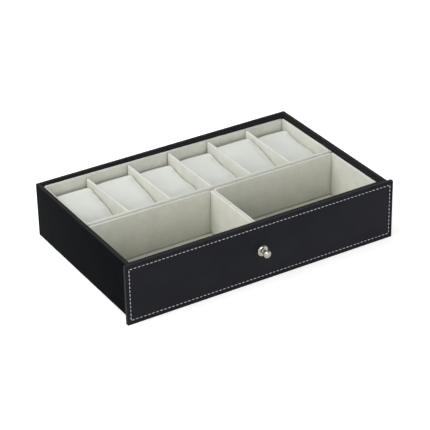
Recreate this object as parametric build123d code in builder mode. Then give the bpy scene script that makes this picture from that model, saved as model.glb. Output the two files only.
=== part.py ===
from build123d import *
from math import cos, radians, sin
import os

# Pull-out drawer of a stacking watch and jewellery box.
# +X is the drawer's right as seen from its front, -Y is its front, +Z is up.
# The origin is under the middle of everything, at the height of the front panel's lower edge.

# Drawer body, measured over its leatherette
BODY_WIDTH = 300.0
BODY_DEPTH = 190.0
BODY_HEIGHT = 59.5
WALL_BOARD = 3.0
FLOOR_BOARD = 2.6
LEATHERETTE = 0.75
WRAP_CORNER = 1.0
WRAP_RIM = 1.0
RIM_TURN_IN = 14.0
BASE_TURN_IN = 12.0
COVER_SHEET = 0.6
COVER_MARGIN = 1.5

# Front panel
PANEL_OVERHANG = 4.2
PANEL_RISE = 0.7
PANEL_LIP = 4.7
PANEL_BOARD = 2.5
PANEL_TURN_IN = 14.0
PANEL_CORNER = 1.0
PANEL_EDGE = 0.9

# Knob, turned, on a domed rosette
KNOB_OFF_MIDDLE = 2.5
KNOB_RAISE = 1.6
ROSETTE_RADIUS = 6.0
ROSETTE_RIM = 0.6
ROSETTE_HEIGHT = 2.1
ROSETTE_FLAT = 2.9
ROSETTE_DOME = 0.38
KNOB_FOOT_RADIUS = 2.6
KNOB_FOOT_HEIGHT = 1.2
KNOB_NECK_RADIUS = 2.0
KNOB_NECK_LENGTH = 4.1
KNOB_HEAD_RADIUS = 4.2
KNOB_HEAD_LENGTH = 4.6
KNOB_FACE_RADIUS = 3.1
KNOB_CROWN = 0.75
KNOB_BORE_DEPTH = 6.0
SCREW_RADIUS = 1.5
SCREW_HEAD_RADIUS = 2.9
SCREW_HEAD_HEIGHT = 1.6
SCREW_END_GAP = 0.8
SCREW_CLEARANCE = 0.2
THREAD_CLEARANCE = 0.05
DRIVE_WIDTH = 0.8
DRIVE_LENGTH = 3.0
DRIVE_DEPTH = 0.7

# Trays of velvet-covered card that stand in the body
CARD = 2.4
CARD_FOLD = 0.9
FLOOR_CARD = 1.3
TRAY_FIT = 0.2
TRAY_GAP = 0.5
FRONT_TRAYS_MEET = -2.5
CELLS = 6
CELL_DEPTH = 88.9
RIM_DROP_LEFT = 2.2
RIM_DROP_RIGHT = 5.2
FRONT_TRAY_DROP = 1.8
DIVIDER_DROP = 0.5
DIVIDER_END_GAP = 0.3

# Watch cushions
CUSHION_SIDE_GAP = 0.5
CUSHION_END_GAP = 0.6
CUSHION_REST_GAP = 0.2
CUSHION_BASE = 1.5
CUSHION_BASE_INSET = 2.0
CUSHION_RIDGE_HEIGHT = 43.8
CUSHION_REAR_HEIGHT = 33.8
CUSHION_FRONT_HEIGHT = 30.0
CUSHION_NOSE_HEIGHT = 22.5
CUSHION_REAR_ROUND = 11.0
CUSHION_FRONT_ROUND = 6.0
CUSHION_TOP_BOW = 2.5
CUSHION_REAR_BOW = 3.3
CUSHION_FRONT_BOW = 1.5
CUSHION_CROWN = 1.2
CUSHION_HALFWAY_CROWN = 0.75
CUSHION_SIDE_PULL = 1.8
CUSHION_SHOULDER = 3.2
CUSHION_SHOULDER_STEPS = 2

# Places that follow from the sizes above
panel_thickness = PANEL_BOARD + 2 * LEATHERETTE
panel_width = BODY_WIDTH + 2 * PANEL_OVERHANG
panel_height = PANEL_LIP + BODY_HEIGHT + PANEL_RISE
knob_reach = ROSETTE_HEIGHT + KNOB_NECK_LENGTH + KNOB_HEAD_LENGTH
back_y = (BODY_DEPTH + panel_thickness + knob_reach) / 2
front_y = back_y - BODY_DEPTH
panel_face_y = front_y - panel_thickness
middle_y = (back_y + front_y) / 2
base_z = PANEL_LIP
rim_z = base_z + BODY_HEIGHT
half_width = BODY_WIDTH / 2
half_depth = BODY_DEPTH / 2
wall = WALL_BOARD + 2 * LEATHERETTE
board_base = base_z + COVER_SHEET + LEATHERETTE
board_top = rim_z - LEATHERETTE
tray_base = board_base + FLOOR_BOARD
card_base = tray_base + FLOOR_CARD
knob_x = -KNOB_OFF_MIDDLE
knob_z = panel_height / 2 + KNOB_RAISE
body_middle = (0, middle_y)


def export_piece(part, name):
    part.label = name
    export_step(part, f"parts/{name}.step")


def inner_size(inset):
    """Width and depth of a rectangle that lies inset inside the body's outline."""
    return BODY_WIDTH - 2 * inset, BODY_DEPTH - 2 * inset


def panel_plane(y):
    """Plane on the middle of the front panel at y, looking out of the front."""
    return Plane(origin=(0, y, panel_height / 2), x_dir=(1, 0, 0), z_dir=(0, -1, 0))


def knob_plane(y):
    """Plane on the knob's axis at y, looking out of the front."""
    return Plane(origin=(knob_x, y, knob_z), x_dir=(1, 0, 0), z_dir=(0, -1, 0))


def turned_profile(y):
    """Plane for half profiles round the knob's axis: x is the radius, y runs out of the front."""
    return Plane(origin=(knob_x, y, knob_z), x_dir=(1, 0, 0), z_dir=(0, 0, -1))


def turning_axis(y):
    return Axis((knob_x, y, knob_z), (0, -1, 0))


os.makedirs("parts", exist_ok=True)

# ---------------------------------------------------------------- body boards
board_height = board_top - board_base
side_board_depth = BODY_DEPTH - 2 * LEATHERETTE
cross_board_width = BODY_WIDTH - 2 * LEATHERETTE - 2 * WALL_BOARD
side_board_x = half_width - LEATHERETTE - WALL_BOARD / 2
cross_board_y = half_depth - LEATHERETTE - WALL_BOARD / 2
screw_head_y = middle_y - cross_board_y + WALL_BOARD / 2

with BuildPart() as floor_board:
    with BuildSketch(Plane.XY.offset(board_base)):
        with Locations(body_middle):
            Rectangle(*inner_size(LEATHERETTE + WALL_BOARD))
    extrude(amount=FLOOR_BOARD)
export_piece(floor_board.part, "floor_board")

for name, side in (("left_wall_board", -1), ("right_wall_board", 1)):
    with BuildPart() as side_board:
        with BuildSketch(Plane.XY.offset(board_base)):
            with Locations((side * side_board_x, middle_y)):
                Rectangle(WALL_BOARD, side_board_depth)
        extrude(amount=board_height)
    export_piece(side_board.part, name)

with BuildPart() as back_board:
    with BuildSketch(Plane.XY.offset(board_base)):
        with Locations((0, middle_y + cross_board_y)):
            Rectangle(cross_board_width, WALL_BOARD)
    extrude(amount=board_height)
export_piece(back_board.part, "back_wall_board")

# The front wall board is countersunk on its inner face for the knob's screw.
with BuildPart() as front_board:
    with BuildSketch(Plane.XY.offset(board_base)):
        with Locations((0, middle_y - cross_board_y)):
            Rectangle(cross_board_width, WALL_BOARD)
    extrude(amount=board_height)
    with Locations(knob_plane(screw_head_y).rotated((180, 0, 0))):
        CounterSinkHole(
            radius=SCREW_RADIUS + SCREW_CLEARANCE,
            counter_sink_radius=SCREW_HEAD_RADIUS + SCREW_CLEARANCE,
        )
export_piece(front_board.part, "front_wall_board")

# ---------------------------------------------------------------- body leatherette
# One strip goes round the four walls, over their tops and a little way down inside, and is
# turned in under the boards.
wrap_base = base_z + COVER_SHEET
with BuildPart() as body_wrap:
    with BuildSketch(Plane.XY.offset(wrap_base)):
        with Locations(body_middle):
            RectangleRounded(BODY_WIDTH, BODY_DEPTH, WRAP_CORNER)
    extrude(amount=rim_z - wrap_base)
    with BuildSketch(Plane.XY.offset(board_base)):
        with Locations(body_middle):
            Rectangle(*inner_size(LEATHERETTE))
    extrude(amount=board_height, mode=Mode.SUBTRACT)
    with BuildSketch(Plane.XY.offset(board_top - RIM_TURN_IN)):
        with Locations(body_middle):
            Rectangle(*inner_size(LEATHERETTE + WALL_BOARD))
            Rectangle(*inner_size(wall), mode=Mode.SUBTRACT)
    extrude(amount=RIM_TURN_IN)
    with BuildSketch(Plane.XY.offset(board_top)):
        with Locations(body_middle):
            Rectangle(*inner_size(wall))
    extrude(amount=LEATHERETTE, mode=Mode.SUBTRACT)
    with BuildSketch(Plane.XY.offset(wrap_base)):
        with Locations(body_middle):
            Rectangle(*inner_size(BASE_TURN_IN))
    extrude(amount=LEATHERETTE, mode=Mode.SUBTRACT)
    fillet(body_wrap.faces().sort_by(Axis.Z)[-1].edges(), WRAP_RIM)
    with Locations(knob_plane(front_y)):
        Hole(radius=SCREW_RADIUS + SCREW_CLEARANCE, depth=2 * LEATHERETTE)
export_piece(body_wrap.part, "body_leatherette")

with BuildPart() as cover:
    with BuildSketch(Plane.XY.offset(base_z)):
        with Locations(body_middle):
            Rectangle(*inner_size(COVER_MARGIN))
    extrude(amount=COVER_SHEET)
export_piece(cover.part, "underside_cover")

# ---------------------------------------------------------------- front panel
panel_board_y = front_y - LEATHERETTE
board_width = panel_width - 2 * LEATHERETTE
panel_board_height = panel_height - 2 * LEATHERETTE

with BuildPart() as panel_board:
    with BuildSketch(panel_plane(panel_board_y)):
        Rectangle(board_width, panel_board_height)
    extrude(amount=PANEL_BOARD)
    with BuildSketch(knob_plane(panel_board_y)):
        Circle(SCREW_RADIUS + SCREW_CLEARANCE)
    extrude(amount=PANEL_BOARD, mode=Mode.SUBTRACT)
export_piece(panel_board.part, "front_panel_board")

# The panel's leatherette wraps the board's face and edges and is glued down behind it.
with BuildPart() as panel_wrap:
    with BuildSketch(panel_plane(front_y)):
        RectangleRounded(panel_width, panel_height, PANEL_CORNER)
    extrude(amount=panel_thickness)
    fillet(panel_wrap.faces().sort_by(Axis.Y)[0].edges(), PANEL_EDGE)
    fillet(panel_wrap.faces().sort_by(Axis.Y)[-1].edges(), LEATHERETTE / 2)
    with BuildSketch(panel_plane(panel_board_y)):
        Rectangle(board_width, panel_board_height)
    extrude(amount=PANEL_BOARD, mode=Mode.SUBTRACT)
    with BuildSketch(panel_plane(front_y)):
        Rectangle(panel_width - 2 * PANEL_TURN_IN, panel_height - 2 * PANEL_TURN_IN)
    extrude(amount=LEATHERETTE, mode=Mode.SUBTRACT)
    with BuildSketch(knob_plane(panel_face_y)):
        Circle(SCREW_RADIUS + SCREW_CLEARANCE)
    extrude(amount=-LEATHERETTE, mode=Mode.SUBTRACT)
export_piece(panel_wrap.part, "front_panel_leatherette")

# ---------------------------------------------------------------- knob
knob_foot_y = panel_face_y - ROSETTE_HEIGHT

with BuildPart() as rosette:
    with BuildSketch(turned_profile(panel_face_y)):
        with BuildLine():
            bore = SCREW_RADIUS + SCREW_CLEARANCE
            rim = (ROSETTE_RADIUS, ROSETTE_RIM)
            flat = (ROSETTE_FLAT, ROSETTE_HEIGHT)
            Polyline(rim, (ROSETTE_RADIUS, 0), (bore, 0), (bore, ROSETTE_HEIGHT), flat)
            SagittaArc(flat, rim, ROSETTE_DOME)
        make_face()
    revolve(axis=turning_axis(panel_face_y))
export_piece(rosette.part, "knob_rosette")

# The knob is turned in one piece: a flared foot, a neck and a flattened ball with a crowned
# face, bored and threaded from below.
ball_y = KNOB_NECK_LENGTH + KNOB_HEAD_LENGTH / 2
tip_y = KNOB_NECK_LENGTH + KNOB_HEAD_LENGTH
crown_radius = (KNOB_FACE_RADIUS ** 2 + KNOB_CROWN ** 2) / (2 * KNOB_CROWN)
with BuildPart() as knob:
    with BuildSketch(turned_profile(knob_foot_y)):
        with BuildLine():
            thread = SCREW_RADIUS + THREAD_CLEARANCE
            tip = (0, tip_y)
            under = (KNOB_FACE_RADIUS, KNOB_NECK_LENGTH + KNOB_CROWN)
            over = (KNOB_FACE_RADIUS, tip_y - KNOB_CROWN)
            Polyline(tip, (0, KNOB_BORE_DEPTH), (thread, KNOB_BORE_DEPTH), (thread, 0),
                     (KNOB_FOOT_RADIUS, 0), (KNOB_NECK_RADIUS, KNOB_FOOT_HEIGHT),
                     (KNOB_NECK_RADIUS, KNOB_NECK_LENGTH), under)
            ThreePointArc(under, (KNOB_HEAD_RADIUS, ball_y), over)
            RadiusArc(over, tip, -crown_radius)
        make_face()
    revolve(axis=turning_axis(knob_foot_y))
export_piece(knob.part, "knob")

screw_length = screw_head_y - knob_foot_y + KNOB_BORE_DEPTH - SCREW_END_GAP
with BuildPart() as screw:
    with BuildSketch(turned_profile(screw_head_y)):
        with BuildLine():
            Polyline((0, 0), (SCREW_HEAD_RADIUS, 0), (SCREW_RADIUS, SCREW_HEAD_HEIGHT),
                     (SCREW_RADIUS, screw_length), (0, screw_length), close=True)
        make_face()
    revolve(axis=turning_axis(screw_head_y))
    with BuildSketch(knob_plane(screw_head_y)):
        Rectangle(DRIVE_WIDTH, DRIVE_LENGTH)
        Rectangle(DRIVE_LENGTH, DRIVE_WIDTH)
    extrude(amount=DRIVE_DEPTH, mode=Mode.SUBTRACT)
export_piece(screw.part, "knob_screw")

# ---------------------------------------------------------------- trays
tray_edge_x = half_width - wall - TRAY_FIT
tray_back_y = back_y - wall - TRAY_FIT
tray_front_y = front_y + wall + TRAY_FIT
cell_back_y = tray_back_y - CARD
cell_front_y = cell_back_y - CELL_DEPTH
watch_tray_y = cell_front_y - CARD


def tray_top(x, drop):
    """Height of a tray's upper edge at x: the trays stand a little higher on the left."""
    share = (x + half_width) / BODY_WIDTH
    return rim_z - RIM_DROP_LEFT - share * (RIM_DROP_RIGHT - RIM_DROP_LEFT) - drop


def standing_card(name, x_span, y_span, drop):
    """A velvet-covered card on edge, with its two long upper edges folded round."""
    x_low, x_high = x_span
    y_low, y_high = y_span
    with BuildPart() as card:
        with BuildSketch(Plane.XZ.offset(-y_high)):
            with BuildLine():
                Polyline((x_low, card_base), (x_high, card_base), (x_high, tray_top(x_high, drop)),
                         (x_low, tray_top(x_low, drop)), close=True)
            make_face()
        extrude(amount=y_high - y_low)
        upper = card.faces().sort_by(Axis.Z)[-1]
        fillet(upper.edges().sort_by(SortBy.LENGTH)[-2:], CARD_FOLD)
    export_piece(card.part, name)


def floor_card(name, x_span, y_span):
    x_low, x_high = x_span
    y_low, y_high = y_span
    with BuildPart() as card:
        with BuildSketch(Plane.XY.offset(tray_base)):
            with Locations(((x_low + x_high) / 2, (y_low + y_high) / 2)):
                Rectangle(x_high - x_low, y_high - y_low)
        extrude(amount=FLOOR_CARD)
    export_piece(card.part, name)


def tray(name, x_span, y_span, drop):
    """A floor card with four standing cards: the side cards run the tray's whole depth."""
    x_low, x_high = x_span
    y_low, y_high = y_span
    between = (x_low + CARD, x_high - CARD)
    floor_card(f"{name}_floor_card", x_span, y_span)
    standing_card(f"{name}_left_card", (x_low, x_low + CARD), y_span, drop)
    standing_card(f"{name}_right_card", (x_high - CARD, x_high), y_span, drop)
    standing_card(f"{name}_back_card", between, (y_high - CARD, y_high), drop)
    standing_card(f"{name}_front_card", between, (y_low, y_low + CARD), drop)


front_tray_span = (tray_front_y, watch_tray_y - TRAY_GAP)
tray("watch_tray", (-tray_edge_x, tray_edge_x), (watch_tray_y, tray_back_y), 0)
left_tray_span = (-tray_edge_x, FRONT_TRAYS_MEET - TRAY_GAP / 2)
right_tray_span = (FRONT_TRAYS_MEET + TRAY_GAP / 2, tray_edge_x)
tray("left_tray", left_tray_span, front_tray_span, FRONT_TRAY_DROP)
tray("right_tray", right_tray_span, front_tray_span, FRONT_TRAY_DROP)

cells_left_x = -tray_edge_x + CARD
cell_width = (2 * (tray_edge_x - CARD) - (CELLS - 1) * CARD) / CELLS
cell_pitch = cell_width + CARD
divider_span = (cell_front_y + DIVIDER_END_GAP, cell_back_y - DIVIDER_END_GAP)
for number in range(1, CELLS):
    divider_x = cells_left_x + number * cell_pitch - CARD
    divider_name = f"cell_divider_{number}"
    standing_card(divider_name, (divider_x, divider_x + CARD), divider_span, DIVIDER_DROP)

# ---------------------------------------------------------------- watch cushions
cushion_width = cell_width - 2 * CUSHION_SIDE_GAP
cushion_front_y = cell_front_y + CUSHION_END_GAP
cushion_length = CELL_DEPTH - 2 * CUSHION_END_GAP
cushion_base_z = card_base + CUSHION_REST_GAP
cushion_z = cushion_base_z + CUSHION_BASE


def cushion_section(x, pull, crown):
    """Side outline of a cushion at x, pulled in by pull at its front, top and back."""
    front = cushion_front_y + pull
    rear = cushion_front_y + cushion_length - pull
    lift = crown - pull
    nose = (front, cushion_z + CUSHION_NOSE_HEIGHT + lift)
    brow = (front + CUSHION_FRONT_ROUND, cushion_z + CUSHION_FRONT_HEIGHT + lift)
    ridge = (rear - CUSHION_REAR_ROUND, cushion_z + CUSHION_RIDGE_HEIGHT + lift)
    shoulder = (rear, cushion_z + CUSHION_REAR_HEIGHT + lift)
    with BuildSketch(Plane.YZ.offset(x)) as section:
        with BuildLine():
            Polyline(nose, (front, cushion_z), (rear, cushion_z), shoulder)
            SagittaArc(shoulder, ridge, -CUSHION_REAR_BOW)
            SagittaArc(ridge, brow, -CUSHION_TOP_BOW)
            SagittaArc(brow, nose, -CUSHION_FRONT_BOW)
        make_face()
    return section.sketch


# Each cushion is a wedge, high at the back, lofted across its width: its sides are drawn in
# round the shoulders and its middle is crowned.
half_cushion = cushion_width / 2
cushion_stations = [(0, 0, CUSHION_CROWN)]
for side in (-1, 1):
    cushion_stations.append((side * half_cushion / 2, 0, CUSHION_CROWN * CUSHION_HALFWAY_CROWN))
    for step in range(CUSHION_SHOULDER_STEPS + 1):
        turn = radians(90 * step / CUSHION_SHOULDER_STEPS)
        inward = CUSHION_SHOULDER * (1 - cos(turn))
        pull = CUSHION_SIDE_PULL * (1 - sin(turn))
        cushion_stations.append((side * (half_cushion - inward), pull, 0))
cushion_stations.sort()
for number in range(1, CELLS + 1):
    cushion_x = cells_left_x + (number - 1) * cell_pitch + cell_width / 2
    with BuildPart() as cushion:
        loft(
            sections=[
                cushion_section(cushion_x + station, pull, crown)
                for station, pull, crown in cushion_stations
            ],
            ruled=True,
        )
    export_piece(cushion.part, f"watch_cushion_{number}")
    with BuildPart() as cushion_card:
        with BuildSketch(Plane.XY.offset(cushion_base_z)):
            with Locations((cushion_x, cushion_front_y + cushion_length / 2)):
                Rectangle(
                    cushion_width - 2 * CUSHION_BASE_INSET,
                    cushion_length - 2 * CUSHION_BASE_INSET,
                )
        extrude(amount=CUSHION_BASE)
    export_piece(cushion_card.part, f"cushion_base_card_{number}")
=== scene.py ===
import math

import bmesh
import bpy
from mathutils import Matrix, Vector


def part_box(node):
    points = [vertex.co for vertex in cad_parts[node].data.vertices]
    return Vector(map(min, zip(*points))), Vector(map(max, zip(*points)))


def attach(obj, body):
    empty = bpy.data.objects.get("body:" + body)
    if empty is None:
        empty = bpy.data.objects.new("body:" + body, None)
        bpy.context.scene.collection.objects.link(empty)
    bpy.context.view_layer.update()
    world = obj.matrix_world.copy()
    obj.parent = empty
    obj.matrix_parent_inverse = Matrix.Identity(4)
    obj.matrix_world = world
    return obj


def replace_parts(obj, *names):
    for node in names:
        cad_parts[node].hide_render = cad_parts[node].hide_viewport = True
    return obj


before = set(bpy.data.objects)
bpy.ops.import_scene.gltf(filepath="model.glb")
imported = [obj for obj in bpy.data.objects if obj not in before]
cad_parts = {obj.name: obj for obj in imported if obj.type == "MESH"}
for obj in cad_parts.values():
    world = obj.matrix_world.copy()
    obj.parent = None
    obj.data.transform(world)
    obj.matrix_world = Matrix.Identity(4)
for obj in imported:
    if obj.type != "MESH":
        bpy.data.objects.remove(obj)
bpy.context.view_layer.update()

# ------------------------------------------------------------------ boards
# The drawer is an open box of thin fibreboard, butted and glued at its corners, with one
# more board in the front panel. Leatherette and card hide nearly all of it.
MM = 0.001
BOARD_LIGHT = (0.42, 0.29, 0.17, 1)
BOARD_DARK = (0.30, 0.20, 0.11, 1)
FIBRE = 0.6 * MM
BOARD_ROUGHNESS = 0.85
FIBRE_HEIGHT = 0.1 * MM
FIBRE_STRENGTH = 0.3
RAMP_START = 0.3
RAMP_END = 0.7


def new_material(name):
    """A material with one plain shader, and its node tree."""
    material = bpy.data.materials.new(name)
    material.use_nodes = True
    tree = material.node_tree
    return material, tree, tree.nodes["Principled BSDF"]


def noise_texture(tree, size, detail=4, roughness=0.6):
    """Noise on the piece's own coordinates with features of about the given size."""
    place = tree.nodes.new("ShaderNodeTexCoord")
    texture = tree.nodes.new("ShaderNodeTexNoise")
    texture.inputs["Scale"].default_value = 1 / size
    texture.inputs["Detail"].default_value = detail
    texture.inputs["Roughness"].default_value = roughness
    tree.links.new(place.outputs["Object"], texture.inputs["Vector"])
    return texture


def ramp(tree, value, low, high):
    """Colours from low to high as value goes from the ramp's start to its end."""
    colours = tree.nodes.new("ShaderNodeValToRGB")
    colours.color_ramp.elements[0].position = RAMP_START
    colours.color_ramp.elements[1].position = RAMP_END
    colours.color_ramp.elements[0].color = low
    colours.color_ramp.elements[1].color = high
    tree.links.new(value, colours.inputs["Fac"])
    return colours.outputs["Color"]


def bump(tree, height, shader, strength, distance):
    """Raises the surface by height times distance."""
    relief = tree.nodes.new("ShaderNodeBump")
    relief.inputs["Strength"].default_value = strength
    relief.inputs["Distance"].default_value = distance
    tree.links.new(height, relief.inputs["Height"])
    tree.links.new(relief.outputs["Normal"], shader.inputs["Normal"])


def fibreboard():
    material, tree, shader = new_material("fibreboard")
    fibres = noise_texture(tree, FIBRE, detail=6)
    shade = ramp(tree, fibres.outputs["Fac"], BOARD_DARK, BOARD_LIGHT)
    tree.links.new(shade, shader.inputs["Base Color"])
    shader.inputs["Roughness"].default_value = BOARD_ROUGHNESS
    bump(tree, fibres.outputs["Fac"], shader, FIBRE_STRENGTH, FIBRE_HEIGHT)
    return material


def finish_as_built(nodes, material):
    """Gives pieces whose built shape stays in view their material."""
    for node in nodes:
        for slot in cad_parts[node].material_slots:
            slot.material = material


WALL_BOARDS = [f"{side}_wall_board" for side in ("left", "right", "back", "front")]
finish_as_built(WALL_BOARDS + ["floor_board", "front_panel_board"], fibreboard())

# ------------------------------------------------------------------ body leatherette
# One strip of black coated cloth with a fine pebbled grain is glued round the four walls,
# folded over their tops and turned in underneath. On the walls its black is painted darker than
# the same cloth on the front panel, as painted shade. Rims and turned-in strip are paler copies
# of the same cloth, as painted light.
GRAIN = 0.75 * MM
GRAIN_DEPTH = 0.05 * MM
GRAIN_STRENGTH = 0.5
GRAIN_WARP = 0.4
GRAIN_BLUR = 0.6
GRAIN_POLISH = (0.40, 0.56)
# The walls' black: painted shade, darker than the same cloth on the panel.
BODY_LEATHER_SHADED_LOW = (0.0026, 0.0035, 0.0045, 1)
BODY_LEATHER_SHADED_HIGH = (0.0040, 0.0052, 0.0065, 1)
# Painted light: the rims' paler colour where they look up, and the turned-in strip's paler copy of
# the cloth.
RIM_PAINTED_LIGHT = (0.0270, 0.0262, 0.0262, 1)
TURNED_IN_PAINTED_LIGHT_LOW = (0.0190, 0.0186, 0.0190, 1)
TURNED_IN_PAINTED_LIGHT_HIGH = (0.0250, 0.0246, 0.0250, 1)
BODY_LEATHER_IOR = 1.04
LEATHERETTE = 0.75 * MM
PLUMP = 0.35 * MM
BODY_CORNER = 1.0 * MM
RIM_EDGE = 0.8 * MM
RIM_WIDTH = 4.5 * MM
RIM_LINE = 2.3 * MM
RIM_LINE_HALF = 0.45 * MM
RIM_LINE_DEPTH = 0.35 * MM
RIM_TURN_IN = 14 * MM
RIM_FRONT_SAG = 0.0018
SMALL = 0.01 * MM
FLAT = 0.999
STRAIGHT = 0.99
LEATHER_CLOUD = 30 * MM
# How far up a surface must look before the painted light starts, and where it is full.
PAINTED_LIGHT_STARTS = 0.3
PAINTED_LIGHT_FULL = 0.8


def grain_group():
    """Pebbled grain: round cells in a slightly warped net, raised between their creases."""
    group = bpy.data.node_groups.new("leatherette grain", "ShaderNodeTree")
    group.interface.new_socket("Cell Size", in_out="INPUT", socket_type="NodeSocketFloat")
    group.interface.new_socket("Height", in_out="OUTPUT", socket_type="NodeSocketFloat")
    group.interface.new_socket("Roughness", in_out="OUTPUT", socket_type="NodeSocketFloat")
    given = group.nodes.new("NodeGroupInput")
    result = group.nodes.new("NodeGroupOutput")
    place = group.nodes.new("ShaderNodeTexCoord")
    scale = group.nodes.new("ShaderNodeMath")
    scale.operation = "DIVIDE"
    scale.inputs[0].default_value = 1
    group.links.new(given.outputs["Cell Size"], scale.inputs[1])
    warp = group.nodes.new("ShaderNodeTexNoise")
    warp.inputs["Scale"].default_value = GRAIN_WARP / GRAIN
    group.links.new(place.outputs["Object"], warp.inputs["Vector"])
    pull = group.nodes.new("ShaderNodeVectorMath")
    pull.operation = "MULTIPLY_ADD"
    pull.inputs[1].default_value = (GRAIN, GRAIN, GRAIN)
    group.links.new(warp.outputs["Color"], pull.inputs[0])
    group.links.new(place.outputs["Object"], pull.inputs[2])
    pebbles = group.nodes.new("ShaderNodeTexVoronoi")
    pebbles.feature = "SMOOTH_F1"
    pebbles.inputs["Smoothness"].default_value = GRAIN_BLUR
    group.links.new(scale.outputs["Value"], pebbles.inputs["Scale"])
    group.links.new(pull.outputs["Vector"], pebbles.inputs["Vector"])
    height = group.nodes.new("ShaderNodeMath")
    height.operation = "SUBTRACT"
    height.inputs[0].default_value = 1
    group.links.new(pebbles.outputs["Distance"], height.inputs[1])
    group.links.new(height.outputs["Value"], result.inputs["Height"])
    polish = group.nodes.new("ShaderNodeMapRange")
    polish.inputs["To Min"].default_value, polish.inputs["To Max"].default_value = GRAIN_POLISH
    group.links.new(pebbles.outputs["Distance"], polish.inputs["Value"])
    group.links.new(polish.outputs["Result"], result.inputs["Roughness"])
    return group


leather_grain = grain_group()


def leatherette(name, low, high, gloss):
    """Coated cloth, cloudy between two colours; gloss is its IOR."""
    material, tree, shader = new_material(name)
    clouds = noise_texture(tree, LEATHER_CLOUD, detail=3)
    tree.links.new(ramp(tree, clouds.outputs["Fac"], low, high), shader.inputs["Base Color"])
    grain = tree.nodes.new("ShaderNodeGroup")
    grain.node_tree = leather_grain
    grain.inputs["Cell Size"].default_value = GRAIN
    bump(tree, grain.outputs["Height"], shader, GRAIN_STRENGTH, GRAIN_DEPTH)
    tree.links.new(grain.outputs["Roughness"], shader.inputs["Roughness"])
    shader.inputs["IOR"].default_value = gloss
    return material


def paint_top_light(material, colour):
    """Paints light on a material: its colour turns paler where its surface looks up."""
    tree = material.node_tree
    shader = tree.nodes["Principled BSDF"]
    plain = shader.inputs["Base Color"].links[0].from_socket
    place = tree.nodes.new("ShaderNodeTexCoord")
    parts = tree.nodes.new("ShaderNodeSeparateXYZ")
    upward = tree.nodes.new("ShaderNodeMapRange")
    upward.inputs["From Min"].default_value = PAINTED_LIGHT_STARTS
    upward.inputs["From Max"].default_value = PAINTED_LIGHT_FULL
    both = tree.nodes.new("ShaderNodeMixRGB")
    both.inputs["Color2"].default_value = colour
    tree.links.new(place.outputs["Normal"], parts.inputs["Vector"])
    tree.links.new(parts.outputs["Z"], upward.inputs["Value"])
    tree.links.new(upward.outputs["Result"], both.inputs["Fac"])
    tree.links.new(plain, both.inputs["Color1"])
    tree.links.new(both.outputs["Color"], shader.inputs["Base Color"])


X_AXIS = Vector((1, 0, 0))
Y_AXIS = Vector((0, 1, 0))
Z_AXIS = Vector((0, 0, 1))
CREASE_ANGLE = math.radians(35)


def box_to_edit(name, low, high):
    """A cube stretched between two corners, open in edit mode."""
    bpy.ops.object.select_all(action="DESELECT")
    low, high = Vector(low), Vector(high)
    bpy.ops.mesh.primitive_cube_add(size=1, location=(low + high) / 2, scale=high - low)
    bpy.ops.object.transform_apply(location=True, rotation=False, scale=True)
    piece = bpy.context.object
    piece.name = name
    bpy.ops.object.mode_set(mode="EDIT")
    return piece


def pick(kind, passes):
    """Selects the open piece's verts, edges or faces that pass a test."""
    bpy.ops.mesh.select_mode(type={"verts": "VERT", "edges": "EDGE", "faces": "FACE"}[kind])
    bpy.ops.mesh.select_all(action="DESELECT")
    mesh = bpy.context.edit_object.data
    shape = bmesh.from_edit_mesh(mesh)
    for element in getattr(shape, kind):
        element.select_set(passes(element))
    shape.select_flush_mode()
    bmesh.update_edit_mesh(mesh)


def direction(edge):
    return (edge.verts[1].co - edge.verts[0].co).normalized()


def runs_along(edge, axis):
    return abs(direction(edge).dot(axis)) > STRAIGHT


def middle(edge):
    return (edge.verts[0].co + edge.verts[1].co) / 2


def close_piece(piece, material, body):
    """Ends editing: one material, smooth shading between creases, and its body."""
    bpy.ops.mesh.select_all(action="SELECT")
    bpy.ops.mesh.remove_doubles(threshold=SMALL / 10)
    bpy.ops.mesh.normals_make_consistent(inside=False)
    bpy.ops.object.mode_set(mode="OBJECT")
    bpy.ops.object.shade_smooth_by_angle(angle=CREASE_ANGLE)
    piece.data.materials.clear()
    piece.data.materials.append(material)
    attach(piece, body)


def draw_face(low, high, push):
    """Draws the picked flat face out to the outline from low to high and moves it by push."""
    bpy.ops.mesh.extrude_region_move()
    shape = bmesh.from_edit_mesh(bpy.context.edit_object.data)
    corners = [vert.co.copy() for vert in shape.verts if vert.select]
    size, shift = Vector((1, 1, 1)), Vector(push)
    centre = sum(corners, Vector()) / len(corners)
    for axis in range(3):
        least = min(corner[axis] for corner in corners)
        most = max(corner[axis] for corner in corners)
        if most - least > SMALL:
            size[axis] = (high[axis] - low[axis]) / (most - least)
            centre[axis] = (least + most) / 2
            shift[axis] += (low[axis] + high[axis]) / 2 - centre[axis]
    bpy.ops.transform.resize(value=size, center_override=centre)
    bpy.ops.transform.translate(value=shift)


def make_active(piece):
    bpy.ops.object.select_all(action="DESELECT")
    piece.select_set(True)
    bpy.context.view_layer.objects.active = piece


def apply_modifier(piece, modifier):
    make_active(piece)
    bpy.ops.object.modifier_apply(modifier=modifier.name)


body_low, body_high = (Vector(corner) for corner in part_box("body_leatherette"))
wrap_low = body_low - Vector((PLUMP, 0, 0))
wrap_high = body_high + Vector((PLUMP, PLUMP, PLUMP / 2))
wrap = box_to_edit("body_wrap", wrap_low, wrap_high)
pick("edges", lambda edge: runs_along(edge, Z_AXIS))
bpy.ops.mesh.bevel(offset=BODY_CORNER, segments=4, affect="EDGES")
pick("edges", lambda edge: all(vert.co.z > wrap_high.z - SMALL for vert in edge.verts))
bpy.ops.mesh.bevel(offset=RIM_EDGE, segments=4, affect="EDGES")
pick("faces", lambda face: face.normal.z > FLAT and len(face.verts) > 4)
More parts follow.
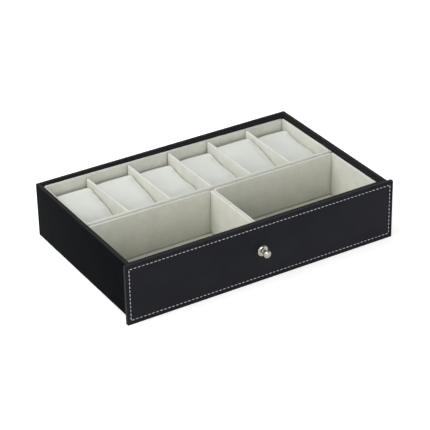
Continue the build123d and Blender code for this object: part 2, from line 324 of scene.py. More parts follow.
# From the outside inwards: the pressed line along the rim, the rounded edge, the strip inside.
for inset, push in (
    (RIM_LINE - RIM_LINE_HALF, 0),
    (RIM_LINE, -RIM_LINE_DEPTH),
    (RIM_LINE + RIM_LINE_HALF, RIM_LINE_DEPTH),
    (RIM_WIDTH - RIM_EDGE, 0),
    (RIM_WIDTH - RIM_EDGE * 0.3, -RIM_EDGE * 0.3),
    (RIM_WIDTH, -RIM_EDGE * 0.7),
    (RIM_WIDTH, -RIM_TURN_IN),
):
    aside = Vector((inset, inset, 0))
    draw_face(wrap_low + aside, wrap_high - aside, (0, 0, push))
bpy.ops.mesh.delete(type="FACE")
pick("faces", lambda face: face.normal.z < -FLAT and len(face.verts) > 4)
aside = Vector((RIM_WIDTH, RIM_WIDTH, 0))
draw_face(wrap_low + aside, wrap_high - aside, (0, 0, 0))
bpy.ops.mesh.delete(type="FACE")
rim_bottom = wrap_high.z - 2 * RIM_EDGE
front_rim_back = wrap_low.y + RIM_WIDTH + SMALL
pick("verts", lambda vert: vert.co.z > rim_bottom and vert.co.y < front_rim_back)
bpy.ops.transform.rotate(
    value=RIM_FRONT_SAG, orient_axis="Y", center_override=(wrap_high.x, wrap_low.y, wrap_high.z)
)
# The walls' cloth is painted darker than on the panel, as painted shade, and its rims paler, as
# painted light.
body_leatherette = leatherette(
    "body leatherette, painted darker", BODY_LEATHER_SHADED_LOW, BODY_LEATHER_SHADED_HIGH, BODY_LEATHER_IOR
)
paint_top_light(body_leatherette, RIM_PAINTED_LIGHT)
close_piece(wrap, body_leatherette, "drawer")
# The turned-in strip inside the rims is a paler copy of the cloth, as painted light.
lit_turned_in = leatherette("turned-in leatherette, painted paler", TURNED_IN_PAINTED_LIGHT_LOW, TURNED_IN_PAINTED_LIGHT_HIGH, BODY_LEATHER_IOR)
paint_top_light(lit_turned_in, RIM_PAINTED_LIGHT)
wrap.data.materials.append(lit_turned_in)
strip_low = wrap_low + aside - Vector((SMALL, SMALL, 0))
strip_high = wrap_high - aside + Vector((SMALL, SMALL, 0))
for face in wrap.data.polygons:
    spot = face.center
    inside = strip_low.x < spot.x < strip_high.x and strip_low.y < spot.y < strip_high.y
    if inside and spot.z > rim_bottom - RIM_TURN_IN:
        face.material_index = 1
thickness = wrap.modifiers.new("leatherette", "SOLIDIFY")
thickness.thickness = LEATHERETTE
apply_modifier(wrap, thickness)
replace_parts(wrap, "body_leatherette")

# ------------------------------------------------------------------ underside cover
# A thin sheet of black felt paper is glued under the drawer. It hides the leatherette's
# turned-in edges and lets the drawer slide.
FELT_FIBRE = 0.35 * MM
FELT_LOW = (0.010, 0.010, 0.011, 1)
FELT_HIGH = (0.026, 0.026, 0.027, 1)
FELT_ROUGHNESS = 0.95
FELT_GLOSS = 0.1
FELT_HEIGHT = 0.15 * MM
FELT_STRENGTH = 0.6


def felt_paper():
    material, tree, shader = new_material("black felt paper")
    fibres = noise_texture(tree, FELT_FIBRE, detail=5, roughness=0.7)
    shade = ramp(tree, fibres.outputs["Fac"], FELT_LOW, FELT_HIGH)
    tree.links.new(shade, shader.inputs["Base Color"])
    shader.inputs["Roughness"].default_value = FELT_ROUGHNESS
    shader.inputs["Specular IOR Level"].default_value = FELT_GLOSS
    bump(tree, fibres.outputs["Fac"], shader, FELT_STRENGTH, FELT_HEIGHT)
    return material


finish_as_built(["underside_cover"], felt_paper())

# ------------------------------------------------------------------ front panel
# The front is a board wrapped in the same leatherette, glued down behind, and sewn all
# round a few millimetres in from its edges. The seam pulls the leatherette into a shallow
# groove.
PANEL_CORNER = 1.0 * MM
PANEL_EDGE = 0.9 * MM
PANEL_BACK_EDGE = 0.35 * MM
SEAM_TOP = 3.9 * MM
SEAM_BOTTOM = 5.1 * MM
SEAM_LEFT = 3.6 * MM
SEAM_RIGHT = 4.1 * MM
GROOVE = 0.7 * MM
GROOVE_DEPTH = 0.22 * MM
PANEL_LEATHER_LOW = (0.0122, 0.0127, 0.0162, 1)
PANEL_LEATHER_HIGH = (0.0158, 0.0165, 0.0208, 1)
PANEL_LEATHER_IOR = 1.12

panel_low, panel_high = (Vector(corner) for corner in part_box("front_panel_leatherette"))
plump = Vector((PLUMP, 0, PLUMP)) / 2
panel_wrap = box_to_edit("panel_leatherette", panel_low - plump, panel_high + plump)
pick("edges", lambda edge: runs_along(edge, Y_AXIS))
bpy.ops.mesh.bevel(offset=PANEL_CORNER, segments=5, affect="EDGES")
pick("edges", lambda edge: all(vert.co.y < panel_low[1] + SMALL for vert in edge.verts))
bpy.ops.mesh.bevel(offset=PANEL_EDGE, segments=4, affect="EDGES")
pick("edges", lambda edge: all(vert.co.y > panel_high[1] - SMALL for vert in edge.verts))
bpy.ops.mesh.bevel(offset=PANEL_BACK_EDGE, segments=2, affect="EDGES")

seam_low = Vector((panel_low[0] + SEAM_LEFT, panel_low[1], panel_low[2] + SEAM_BOTTOM))
seam_high = Vector((panel_high[0] - SEAM_RIGHT, panel_low[1], panel_high[2] - SEAM_TOP))
pick("faces", lambda face: face.normal.y < -FLAT and len(face.verts) > 4)
for spread, push in ((GROOVE / 2, 0), (0, GROOVE_DEPTH), (-GROOVE / 2, -GROOVE_DEPTH)):
    aside = Vector((spread, 0, spread))
    draw_face(seam_low - aside, seam_high + aside, (0, push, 0))
panel_leatherette = leatherette(
    "panel leatherette", PANEL_LEATHER_LOW, PANEL_LEATHER_HIGH, PANEL_LEATHER_IOR
)
close_piece(panel_wrap, panel_leatherette, "drawer")
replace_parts(panel_wrap, "front_panel_leatherette")

# The seam is sewn in thick off-white thread. Each stitch is a short bar whose ends dive
# into the needle holes.
STITCH_PITCH = 4.4 * MM
STITCH_LENGTH = 2.9 * MM
THREAD = 0.57 * MM
THREAD_PROUD = 0.18 * MM
STITCH_SIDES = 8
STITCH_CUTS = 4
STITCH_FLATNESS = 0.55
STITCH_DIVES = ((0.25, 0.08), (0.45, 0.75))
THREAD_TWIST = 0.35 * MM
THREAD_SLANT = math.radians(35)
THREAD_ROUGHNESS = 0.7
THREAD_STRENGTH = 0.4
THREAD_HEIGHT = 0.06 * MM
WAVE_SCALE = 0.3
THREAD_LOW = (0.62, 0.62, 0.64, 1)
THREAD_HIGH = (0.90, 0.90, 0.92, 1)


def stitch_thread():
    material, tree, shader = new_material("off-white thread")
    place = tree.nodes.new("ShaderNodeTexCoord")
    lean = tree.nodes.new("ShaderNodeMapping")
    lean.inputs["Rotation"].default_value = (0, THREAD_SLANT, 0)
    strands = tree.nodes.new("ShaderNodeTexWave")
    strands.inputs["Scale"].default_value = WAVE_SCALE / THREAD_TWIST
    strands.inputs["Distortion"].default_value = 1.0
    tree.links.new(place.outputs["Object"], lean.inputs["Vector"])
    tree.links.new(lean.outputs["Vector"], strands.inputs["Vector"])
    shade = ramp(tree, strands.outputs["Fac"], THREAD_LOW, THREAD_HIGH)
    tree.links.new(shade, shader.inputs["Base Color"])
    shader.inputs["Roughness"].default_value = THREAD_ROUGHNESS
    bump(tree, strands.outputs["Fac"], shader, THREAD_STRENGTH, THREAD_HEIGHT)
    return material


def first_stitch():
    """One stitch along +X, its middle at the origin of the seam."""
    bpy.ops.object.select_all(action="DESELECT")
    bpy.ops.mesh.primitive_cylinder_add(
        vertices=STITCH_SIDES, radius=THREAD / 2, depth=STITCH_LENGTH, rotation=(0, math.pi / 2, 0)
    )
    bpy.ops.object.transform_apply(location=False, rotation=True, scale=False)
    stitch = bpy.context.object
    bpy.ops.object.mode_set(mode="EDIT")
    pick("edges", lambda edge: runs_along(edge, X_AXIS))
    bpy.ops.mesh.subdivide(number_cuts=STITCH_CUTS)
    for reach, dive in STITCH_DIVES:
        pick("verts", lambda vert: abs(vert.co.x) > reach * STITCH_LENGTH)
        bpy.ops.transform.translate(value=(0, dive * THREAD / 2, 0))
    bpy.ops.transform.resize(
        value=(1, STITCH_FLATNESS, STITCH_FLATNESS), center_override=(0, THREAD / 3, 0)
    )
    bpy.ops.object.mode_set(mode="OBJECT")
    return stitch


def stitch_row(stitch, start, end):
    """Stitches laid end to end along one side of the seam."""
    run = end - start
    count = round(run.length / STITCH_PITCH)
    row = stitch.copy()
    row.data = stitch.data.copy()
    bpy.context.collection.objects.link(row)
    if abs(run.z) > abs(run.x):
        row.data.transform(Matrix.Rotation(math.pi / 2, 4, "Y"))
    first = start + run * 0.5 / count
    row.data.transform(Matrix.Translation(first))
    repeat = row.modifiers.new("stitches", "ARRAY")
    repeat.count = count
    repeat.use_relative_offset = False
    repeat.use_constant_offset = True
    repeat.constant_offset_displace = run / count
    apply_modifier(row, repeat)
    return row


thread_y = panel_low[1] + GROOVE_DEPTH - THREAD_PROUD
corners = [
    Vector((x, thread_y, z))
    for x, z in (
        (seam_low.x, seam_low.z),
        (seam_high.x, seam_low.z),
        (seam_high.x, seam_high.z),
        (seam_low.x, seam_high.z),
    )
]
stitch = first_stitch()
rows = [stitch_row(stitch, corners[side - 1], corners[side]) for side in range(4)]
bpy.data.objects.remove(stitch)
bpy.ops.object.select_all(action="DESELECT")
for row in rows:
    row.select_set(True)
bpy.context.view_layer.objects.active = rows[0]
bpy.ops.object.join()
stitching = bpy.context.object
stitching.name = "panel_stitching"
bpy.ops.object.mode_set(mode="EDIT")
close_piece(stitching, stitch_thread(), "drawer")

# ------------------------------------------------------------------ knob
# A small turned knob stands on a domed rosette, both brass with polished nickel plating.
# A countersunk screw from inside the drawer pulls them against the panel.
# The nickel's colour is painted darker than bare nickel, as painted shade standing in for dark
# reflections.
SHADED_NICKEL = (0.36, 0.345, 0.31, 1)
NICKEL_ROUGHNESS = (0.06, 0.14)
SMUDGE = 4 * MM
TURN_STEPS = 64
HEAD_LENGTH = 4.6 * MM
FACE_RADIUS = 3.1 * MM
FACE_CROWN = 0.75 * MM
HEAD_STEPS = 8
# Height over the rosette and radius of each ring, in millimetres.
FOOT_AND_NECK = (
    (0, 2.6), (0.3, 2.6), (0.55, 2.45), (0.85, 2.15), (1.2, 2.0),
    (2.6, 1.9), (3.8, 2.0), (4.1, 2.15), (4.4, 2.55),
)
ROSETTE_RIM = 0.6 * MM
ROSETTE_STEPS = 7
ROSETTE_FLAT = 2.9 * MM
STEEL = (0.60, 0.60, 0.58, 1)
STEEL_DULL = 1.5 * MM
STEEL_ROUGHNESS = (0.3, 0.5)


def metal(name, colour, patch, detail, roughness):
    """Bare metal whose roughness varies in patches between two values."""
    material, tree, shader = new_material(name)
    smudges = noise_texture(tree, patch, detail=detail)
    rub = tree.nodes.new("ShaderNodeMapRange")
    rub.inputs["To Min"].default_value, rub.inputs["To Max"].default_value = roughness
    tree.links.new(smudges.outputs["Fac"], rub.inputs["Value"])
    tree.links.new(rub.outputs["Result"], shader.inputs["Roughness"])
    shader.inputs["Base Color"].default_value = colour
    shader.inputs["Metallic"].default_value = 1
    return material


nickel = metal("polished nickel", SHADED_NICKEL, SMUDGE, 5, NICKEL_ROUGHNESS)
knob_low, knob_high = (Vector(corner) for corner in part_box("knob"))
rosette_low, rosette_high = (Vector(corner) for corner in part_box("knob_rosette"))
knob_axis = (knob_low + knob_high) / 2
knob_radius = (knob_high.x - knob_low.x) / 2
rosette_radius = (rosette_high.x - rosette_low.x) / 2


def turned(name, back, rings):
    """A piece turned round the knob's axis, from rings of (height over its back, radius)."""
    bpy.ops.object.select_all(action="DESELECT")
    bpy.ops.mesh.primitive_circle_add(
        vertices=TURN_STEPS,
        radius=rings[0][1],
        fill_type="NGON",
        location=(knob_axis.x, back, knob_axis.z),
        rotation=(math.pi / 2, 0, 0),
    )
    bpy.ops.object.transform_apply(location=True, rotation=True, scale=True)
    piece = bpy.context.object
    piece.name = name
    bpy.ops.object.mode_set(mode="EDIT")
    bpy.ops.mesh.select_all(action="SELECT")
    for (height, radius), (next_height, next_radius) in zip(rings, rings[1:]):
        bpy.ops.mesh.extrude_region_move(
            TRANSFORM_OT_translate={"value": (0, height - next_height, 0)}
        )
        swell = next_radius / radius
        bpy.ops.transform.resize(
            value=(swell, 1, swell), center_override=(knob_axis.x, back - next_height, knob_axis.z)
        )
    close_piece(piece, nickel, "drawer")
    return piece


knob_height = knob_high.y - knob_low.y
knob_rings = [(height * MM, radius * MM) for height, radius in FOOT_AND_NECK]
side_half = HEAD_LENGTH / 2 - FACE_CROWN
side_bulge = knob_radius - FACE_RADIUS
side_round = (side_half ** 2 + side_bulge ** 2) / (2 * side_bulge)
side_turn = math.asin(side_half / side_round)
for step in range(-HEAD_STEPS, HEAD_STEPS + 1):
    turn = side_turn * step / HEAD_STEPS
    knob_rings.append((
        knob_height - HEAD_LENGTH / 2 + side_round * math.sin(turn),
        knob_radius - side_round * (1 - math.cos(turn)),
    ))
face_round = (FACE_RADIUS ** 2 + FACE_CROWN ** 2) / (2 * FACE_CROWN)
for step in range(1, HEAD_STEPS):
    radius = FACE_RADIUS * (1 - step / HEAD_STEPS)
    knob_rings.append((knob_height - face_round + math.sqrt(face_round ** 2 - radius ** 2), radius))
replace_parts(turned("turned_knob", knob_high.y, knob_rings), "knob")

dome_height = rosette_high.y - rosette_low.y - ROSETTE_RIM
rosette_rings = [(0, rosette_radius)]
for step in range(ROSETTE_STEPS + 1):
    turn = math.pi / 2 * step / ROSETTE_STEPS
    rosette_rings.append((
        ROSETTE_RIM + dome_height * math.sin(turn),
        ROSETTE_FLAT + (rosette_radius - ROSETTE_FLAT) * math.cos(turn),
    ))
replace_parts(turned("domed_rosette", rosette_high.y, rosette_rings), "knob_rosette")

steel = metal("zinc-plated steel", STEEL, STEEL_DULL, 4, STEEL_ROUGHNESS)
finish_as_built(["knob_screw"], steel)

# ------------------------------------------------------------------ trays
# Three trays stand in the drawer, one behind and two in front. Each is folded up from stiff
# card that is covered with grey-green velvet, so all its edges are soft and a little uneven.
FOLD = 0.65 * MM
END_ROUND = 0.6 * MM
END_GAP = 1.6 * MM
FOOT_GAP = 0.5 * MM
# The trays fall a little to the right. Some cards have settled by a small angle more, and one
# stands higher.
TRAY_FALL = 0.010
CARD_SETTLE = {
    "cell_divider_1": 0.032,
    "cell_divider_2": 0.011,
    "watch_tray_front_card": -0.0045,
    "right_tray_back_card": -0.009,
}
CARD_LIFT = {"right_tray_right_card": 1.5 * MM}
WAVE_STEP = 4 * MM
WAVE_SIZE = 14 * MM
WAVE_HEIGHT = 0.30 * MM
CARD_NAP_LOW = (0.560, 0.562, 0.500, 1)
CARD_NAP_HIGH = (0.710, 0.713, 0.642, 1)
# Card tops: painted light, paler where the velvet looks up.
CARD_TOP_PAINTED_LIGHT = (0.665, 0.674, 0.632, 1)
# Floors: the same velvet as the cards, painted paler as painted light.
FLOOR_NAP_PAINTED_LIGHT_LOW = (0.625, 0.628, 0.560, 1)
FLOOR_NAP_PAINTED_LIGHT_HIGH = (0.780, 0.784, 0.708, 1)
PATCH = 16 * MM
PILE = 0.35 * MM
CARD_PILE = 1.3 * MM
PILE_SHARE = 0.6
PILE_HEIGHT = 0.12 * MM
PILE_STRENGTH = 0.35
VELVET_ROUGHNESS = 0.95
VELVET_GLOSS = 0.15
SHEEN = 0.25
SHEEN_ROUGHNESS = 0.4


def nap_group():
    """Velvet's nap: soft patches where the pile was brushed aside, and the fine pile itself."""
    group = bpy.data.node_groups.new("velvet nap", "ShaderNodeTree")
    group.interface.new_socket("Patch Size", in_out="INPUT", socket_type="NodeSocketFloat")
    group.interface.new_socket("Pile Size", in_out="INPUT", socket_type="NodeSocketFloat")
    group.interface.new_socket("Shade", in_out="OUTPUT", socket_type="NodeSocketFloat")
    group.interface.new_socket("Height", in_out="OUTPUT", socket_type="NodeSocketFloat")
    given = group.nodes.new("NodeGroupInput")
    result = group.nodes.new("NodeGroupOutput")
    place = group.nodes.new("ShaderNodeTexCoord")
    noises = {}
    for label, detail in (("Patch Size", 4), ("Pile Size", 3)):
        scale = group.nodes.new("ShaderNodeMath")
        scale.operation = "DIVIDE"
        scale.inputs[0].default_value = 1
        texture = group.nodes.new("ShaderNodeTexNoise")
        texture.inputs["Detail"].default_value = detail
        group.links.new(given.outputs[label], scale.inputs[1])
        group.links.new(scale.outputs["Value"], texture.inputs["Scale"])
        group.links.new(place.outputs["Object"], texture.inputs["Vector"])
        noises[label] = texture.outputs["Fac"]
    blend = group.nodes.new("ShaderNodeMix")
    blend.inputs["Factor"].default_value = PILE_SHARE
    group.links.new(noises["Patch Size"], blend.inputs["A"])
    group.links.new(noises["Pile Size"], blend.inputs["B"])
    group.links.new(blend.outputs["Result"], result.inputs["Shade"])
    group.links.new(noises["Pile Size"], result.inputs["Height"])
    return group


velvet_nap = nap_group()


def velvet(name, low, high, patch, pile):
    material, tree, shader = new_material(name)
    nap = tree.nodes.new("ShaderNodeGroup")
    nap.node_tree = velvet_nap
    nap.inputs["Patch Size"].default_value = patch
    nap.inputs["Pile Size"].default_value = pile
    tree.links.new(ramp(tree, nap.outputs["Shade"], low, high), shader.inputs["Base Color"])
    bump(tree, nap.outputs["Height"], shader, PILE_STRENGTH, PILE_HEIGHT)
    shader.inputs["Roughness"].default_value = VELVET_ROUGHNESS
    shader.inputs["Specular IOR Level"].default_value = VELVET_GLOSS
    shader.inputs["Sheen Weight"].default_value = SHEEN
    shader.inputs["Sheen Roughness"].default_value = SHEEN_ROUGHNESS
    return material


# The floors' velvet is a paler copy of the cards' velvet, as painted light.
lit_floor_velvet = velvet("grey-green velvet, painted paler on floors", FLOOR_NAP_PAINTED_LIGHT_LOW, FLOOR_NAP_PAINTED_LIGHT_HIGH, PATCH, CARD_PILE)
card_velvet = velvet("grey-green velvet", CARD_NAP_LOW, CARD_NAP_HIGH, PATCH, CARD_PILE)
# The card tops are painted paler, as painted light.
paint_top_light(card_velvet, CARD_TOP_PAINTED_LIGHT)
waves = bpy.data.textures.new("velvet waves", "CLOUDS")
waves.noise_scale = WAVE_SIZE


def cut_across(axis, step):
    """Cuts the piece square to an axis, about one step apart."""
    mesh = bmesh.from_edit_mesh(bpy.context.edit_object.data)
    long_edges = [edge for edge in mesh.edges if runs_along(edge, axis)]
    length = max(edge.calc_length() for edge in long_edges)
    pick("edges", lambda edge: runs_along(edge, axis) and edge.calc_length() > length / 2)
    bpy.ops.mesh.subdivide(number_cuts=max(1, round(length / step)))


def velvet_card(node):
    """A card like the built one, with its edges folded round and its velvet a little wavy."""
    low, high = (Vector(corner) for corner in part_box(node))
    size = high - low
    lying = size.z < size.x and size.z < size.y
    if not lying:
        low.z += FOOT_GAP
        if size.y > size.x:
            high.y -= END_GAP
    card = box_to_edit(f"velvet_{node}", low, high)
    if not lying:
        run = X_AXIS if size.x > size.y else Y_AXIS
        pick("edges", lambda edge: runs_along(edge, run) and middle(edge).z > high.z - SMALL)
        bpy.ops.mesh.bevel(offset=FOLD, segments=4, affect="EDGES")
        pick("verts", lambda vert: vert.co.z > high.z - FOLD - SMALL)
        bpy.ops.transform.translate(value=(0, 0, CARD_LIFT.get(node, 0)))
        settle = CARD_SETTLE.get(node, 0)
        if run is X_AXIS:
            bpy.ops.transform.rotate(
                value=-TRAY_FALL - settle, orient_axis="Y", center_override=(low.x, low.y, high.z)
            )
        else:
            bpy.ops.transform.rotate(
                value=settle, orient_axis="X", center_override=(low.x, low.y, high.z)
            )
    pick("edges", lambda edge: edge.calc_face_angle(0) > 1)
    bpy.ops.mesh.bevel(offset=END_ROUND, segments=2, affect="EDGES")
    for axis in (X_AXIS, Y_AXIS, Z_AXIS):
        if abs(size.dot(axis)) > 2 * WAVE_STEP:
            cut_across(axis, WAVE_STEP)
    close_piece(card, lit_floor_velvet if lying else card_velvet, "drawer")
    wavy = card.modifiers.new("waves", "DISPLACE")
    wavy.texture = waves
    wavy.texture_coords = "LOCAL"
    wavy.strength = WAVE_HEIGHT
    apply_modifier(card, wavy)
    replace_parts(card, node)


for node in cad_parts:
    if "tray" in node or "cell_divider" in node:
        velvet_card(node)

# ------------------------------------------------------------------ watch cushions
# Six wedge-shaped foam cushions, covered in paler velvet, stand on card bases in the cells.
# Their covers are drawn tight underneath, which rounds the shoulders and crowns the top.
NOSE_HEIGHT = 22.5 * MM
BROW_HEIGHT = 30.0 * MM
REAR_HEIGHT = 33.8 * MM
TOP_BOW = 1.5 * MM
BROW_RUN = 6.0 * MM
REAR_RUN = 11.0 * MM
CROWN = 1.2 * MM
SHY = 0.5 * MM
RIDGE_ROUND = 4.5 * MM
SIDE_ROUND = 1.6 * MM
CLOTH_CELL = 2.0 * MM
CLOTH_FRAMES = 20
CLOTH_PRESSURE = 4
SWELL_LIMIT = 1.2 * MM
# How much each cushion's top is raised, in millimetres, near its nose and near its back.
FILLING = ((-3.4, -1.2), (-0.3, -0.6), (0.9, -5.0), (2.0, -4.0), (0.5, 1.8), (2.8, -4.4))
FILLING_REACH = 34 * MM
FILLED_AT = (10 * MM, 62 * MM)
CUSHION_NAP_LOW = (0.655, 0.680, 0.632, 1)
CUSHION_NAP_HIGH = (0.730, 0.755, 0.707, 1)
CUSHION_PATCH = 14 * MM
GREYBOARD_LOW = (0.20, 0.19, 0.17, 1)
GREYBOARD_HIGH = (0.33, 0.32, 0.29, 1)
GREYBOARD_FIBRE = 0.8 * MM
GREYBOARD_ROUGHNESS = 0.9


def greyboard():
    material, tree, shader = new_material("greyboard")
    fibres = noise_texture(tree, GREYBOARD_FIBRE, detail=6)
    shade = ramp(tree, fibres.outputs["Fac"], GREYBOARD_LOW, GREYBOARD_HIGH)
    tree.links.new(shade, shader.inputs["Base Color"])
    shader.inputs["Roughness"].default_value = GREYBOARD_ROUGHNESS
    bump(tree, fibres.outputs["Fac"], shader, FIBRE_STRENGTH, FIBRE_HEIGHT)
    return material


cushion_nodes = sorted(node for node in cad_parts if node.startswith("watch_cushion"))
base_cards = [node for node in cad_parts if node.startswith("cushion_base_card")]
finish_as_built(base_cards, greyboard())
cushion_velvet = velvet("pale velvet", CUSHION_NAP_LOW, CUSHION_NAP_HIGH, CUSHION_PATCH, PILE)

first_low, first_high = (Vector(corner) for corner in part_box(cushion_nodes[0]))
shy = Vector((SHY, SHY, 0))
foam = box_to_edit("foam", first_low + shy, first_high - shy - Vector((0, 0, CROWN)))
foam_low, foam_high = first_low + shy, first_high - shy
ridge_height = foam_high.z - CROWN - foam_low.z
pick("edges", lambda edge: runs_along(edge, Y_AXIS))
bpy.ops.mesh.subdivide(number_cuts=3)
brow_y = foam_low.y + BROW_RUN
ridge_y = foam_high.y - REAR_RUN
profile = (
    (foam_low.y, NOSE_HEIGHT),
    (brow_y, BROW_HEIGHT),
    ((brow_y + ridge_y) / 2, (BROW_HEIGHT + ridge_height) / 2 + TOP_BOW),
    (ridge_y, ridge_height),
    (foam_high.y, REAR_HEIGHT),
)
upper_half = foam_low.z + ridge_height / 2
for cut, (place_y, height) in enumerate(profile):
    cut_y = foam_low.y + (foam_high.y - foam_low.y) * cut / (len(profile) - 1)
    pick("verts", lambda vert: abs(vert.co.y - cut_y) < SMALL and vert.co.z > upper_half)
    bpy.ops.transform.translate(value=(0, place_y - cut_y, height - ridge_height))
ridge_z = foam_low.z + ridge_height - SMALL
pick("edges", lambda edge: runs_along(edge, X_AXIS) and middle(edge).z > ridge_z)
bpy.ops.mesh.bevel(offset=RIDGE_ROUND, segments=6, affect="EDGES")
pick("edges", lambda edge: edge.calc_face_angle(0) > 1 and middle(edge).z > foam_low.z + SMALL)
bpy.ops.mesh.bevel(offset=SIDE_ROUND, segments=4, affect="EDGES")
bpy.ops.mesh.select_all(action="SELECT")
bpy.ops.mesh.normals_make_consistent(inside=False)
bpy.ops.object.mode_set(mode="OBJECT")
grid = foam.modifiers.new("cloth grid", "REMESH")
grid.mode = "VOXEL"
grid.voxel_size = CLOTH_CELL
apply_modifier(foam, grid)

# The velvet cover is blown out a little by the foam, and held within its swell limit.
start = [vert.co.copy() for vert in foam.data.vertices]
cloth = foam.modifiers.new("cover", "CLOTH")
cloth.settings.use_pressure = True
cloth.settings.uniform_pressure_force = CLOTH_PRESSURE
cloth.settings.effector_weights.gravity = 0
cloth.point_cache.frame_start = 1
cloth.point_cache.frame_end = CLOTH_FRAMES
for moment in range(1, CLOTH_FRAMES + 1):
    bpy.context.scene.frame_set(moment)
apply_modifier(foam, cloth)
bpy.context.scene.frame_set(1)
for vert, rest in zip(foam.data.vertices, start):
    swell = vert.co - rest
    if vert.co.z < foam_low.z + SMALL or rest.z < foam_low.z + CLOTH_CELL:
        swell.z = 0
    if swell.length > SWELL_LIMIT:
        swell.length = SWELL_LIMIT
    vert.co = rest + swell
smooth = foam.modifiers.new("drawn tight", "SMOOTH")
smooth.factor = 0.5
smooth.iterations = 3
apply_modifier(foam, smooth)
finer = foam.modifiers.new("finer", "SUBSURF")
finer.levels = 1
finer.render_levels = 1
apply_modifier(foam, finer)

for number, node in enumerate(cushion_nodes, start=1):
    low, high = (Vector(corner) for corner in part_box(node))
    cushion = foam.copy()
    cushion.data = foam.data.copy()
    cushion.name = f"velvet_{node}"
    bpy.context.collection.objects.link(cushion)
    cushion.data.transform(Matrix.Translation(low - first_low))
    make_active(cushion)
    bpy.ops.object.mode_set(mode="EDIT")
    nose_z = low.z + NOSE_HEIGHT
    for place, more in zip(FILLED_AT, FILLING[number - 1]):
        filled_y = low.y + place
        pick("verts", lambda vert: abs(vert.co.y - filled_y) < CLOTH_CELL and vert.co.z > nose_z)
        bpy.ops.transform.translate(
            value=(0, 0, more * MM), use_proportional_edit=True, proportional_size=FILLING_REACH
        )
    close_piece(cushion, cushion_velvet, f"cushion_{number}")
    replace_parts(cushion, node)
bpy.data.objects.remove(foam)

# ------------------------------------------------------------------ studio
# The drawer lies on a white table under soft light. It rests on the front panel's lower
# edge and the body's rear bottom edge, so the table leans that little in the drawer's frame.
LENS = 153.02
SENSOR = 36
SHIFT = (0.0075, -0.0164)
CAMERA_TURN = math.radians(-30.80)
CAMERA_LIFT = math.radians(29.34)
CAMERA_ROLL = math.radians(-1.23)
CAMERA_PLACE = Vector((-829.94, -1297.0, 945.37)) * MM
TABLE_HALF = 4.0
TABLE_WHITE = (0.80, 0.80, 0.80, 1)
TABLE_GLOW = 0.6
FLAG_PLACE = (0.62, -0.92, 0.65)
FLAG_SIZE = 0.85
FLAG_BLACK = (0.01, 0.01, 0.01, 1)
AMBIENT = 0.288
# Name, place, width in metres and power in watts of each lamp.
SOFTBOXES = (
    ("low key light", (-2.4, 0.0, 0.8), 1.2, 17.4),
    ("high key light", (-1.6, 0.2, 1.9), 1.2, 23.4),
    ("front light", (-0.1, -2.4, 0.7), 1.2, 26.8),
    ("back light", (-0.3, 1.5, 1.9), 1.3, 21),
)

camera = bpy.data.objects.new("camera", bpy.data.cameras.new("camera"))
bpy.context.collection.objects.link(camera)
camera.data.lens = LENS
camera.data.sensor_width = SENSOR
camera.data.shift_x, camera.data.shift_y = SHIFT
camera.matrix_world = (
    Matrix.Translation(CAMERA_PLACE + Vector((0, body_low[1], 0)))
    @ Matrix.Rotation(CAMERA_TURN, 4, "Z")
    @ Matrix.Rotation(math.pi / 2 - CAMERA_LIFT, 4, "X")
    @ Matrix.Rotation(CAMERA_ROLL, 4, "Z")
)
bpy.context.scene.camera = camera
bpy.context.scene.view_settings.view_transform = "Standard"


def seen_directly(tree):
    """1 for rays that meet a background straight, by gloss or through glass, otherwise 0."""
    path = tree.nodes.new("ShaderNodeLightPath")
    total = path.outputs["Is Camera Ray"]
    for kind in ("Is Glossy Ray", "Is Transmission Ray"):
        add = tree.nodes.new("ShaderNodeMath")
        add.use_clamp = True
        tree.links.new(total, add.inputs[0])
        tree.links.new(path.outputs[kind], add.inputs[1])
        total = add.outputs["Value"]
    return total


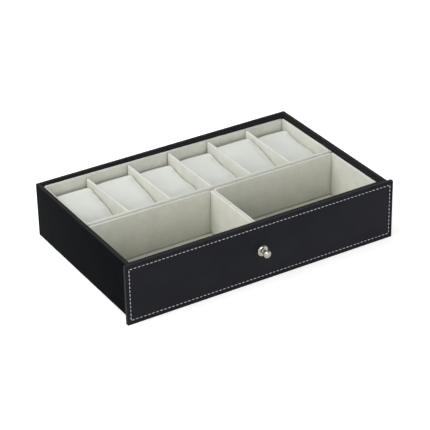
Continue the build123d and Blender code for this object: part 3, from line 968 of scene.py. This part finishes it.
def white_table():
    """White card that shows as the white background but keeps the drawer's shadow."""
    material = bpy.data.materials.new("white table")
    material.use_nodes = True
    tree = material.node_tree
    tree.nodes.clear()
    card = tree.nodes.new("ShaderNodeBsdfDiffuse")
    card.inputs["Color"].default_value = TABLE_WHITE
    glow = tree.nodes.new("ShaderNodeEmission")
    lift = tree.nodes.new("ShaderNodeMath")
    lift.operation = "MULTIPLY"
    lift.inputs[1].default_value = TABLE_GLOW
    both = tree.nodes.new("ShaderNodeAddShader")
    output = tree.nodes.new("ShaderNodeOutputMaterial")
    tree.links.new(seen_directly(tree), lift.inputs[0])
    tree.links.new(lift.outputs["Value"], glow.inputs["Strength"])
    tree.links.new(card.outputs["BSDF"], both.inputs[0])
    tree.links.new(glow.outputs["Emission"], both.inputs[1])
    tree.links.new(both.outputs["Shader"], output.inputs["Surface"])
    return material


cover_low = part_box("underside_cover")[0]
lean = math.atan2(cover_low[2] - panel_low[2], body_high[1] - panel_low[1])
bpy.ops.object.select_all(action="DESELECT")
bpy.ops.mesh.primitive_plane_add(
    size=2 * TABLE_HALF, location=(0, panel_low[1], panel_low[2]), rotation=(lean, 0, 0)
)
table = bpy.context.object
table.name = "table"
table.data.materials.append(white_table())

# A black card over the front keeps the studio's white out of part of the knob's reflections.
bpy.ops.mesh.primitive_plane_add(size=FLAG_SIZE, location=FLAG_PLACE)
flag = bpy.context.object
flag.name = "black flag"
flag.rotation_euler = Vector(FLAG_PLACE).to_track_quat("Z", "Y").to_euler()
black_card, _, black_shader = new_material("black card")
black_shader.inputs["Base Color"].default_value = FLAG_BLACK
flag.data.materials.append(black_card)

for name, place, size, power in SOFTBOXES:
    light = bpy.data.lights.new(name, "AREA")
    light.size = size
    light.energy = power
    lamp = bpy.data.objects.new(name, light)
    lamp.location = place
    lamp.rotation_euler = (-Vector(place)).to_track_quat("-Z", "Y").to_euler()
    bpy.context.collection.objects.link(lamp)

world = bpy.data.worlds.new("studio")
bpy.context.scene.world = world
world.use_nodes = True
sky = world.node_tree.nodes["Background"]
sky.inputs["Color"].default_value = (1, 1, 1, 1)
level = world.node_tree.nodes.new("ShaderNodeMapRange")
level.inputs["To Min"].default_value = AMBIENT
level.inputs["To Max"].default_value = 1
world.node_tree.links.new(seen_directly(world.node_tree), level.inputs["Value"])
world.node_tree.links.new(level.outputs["Result"], sky.inputs["Strength"])
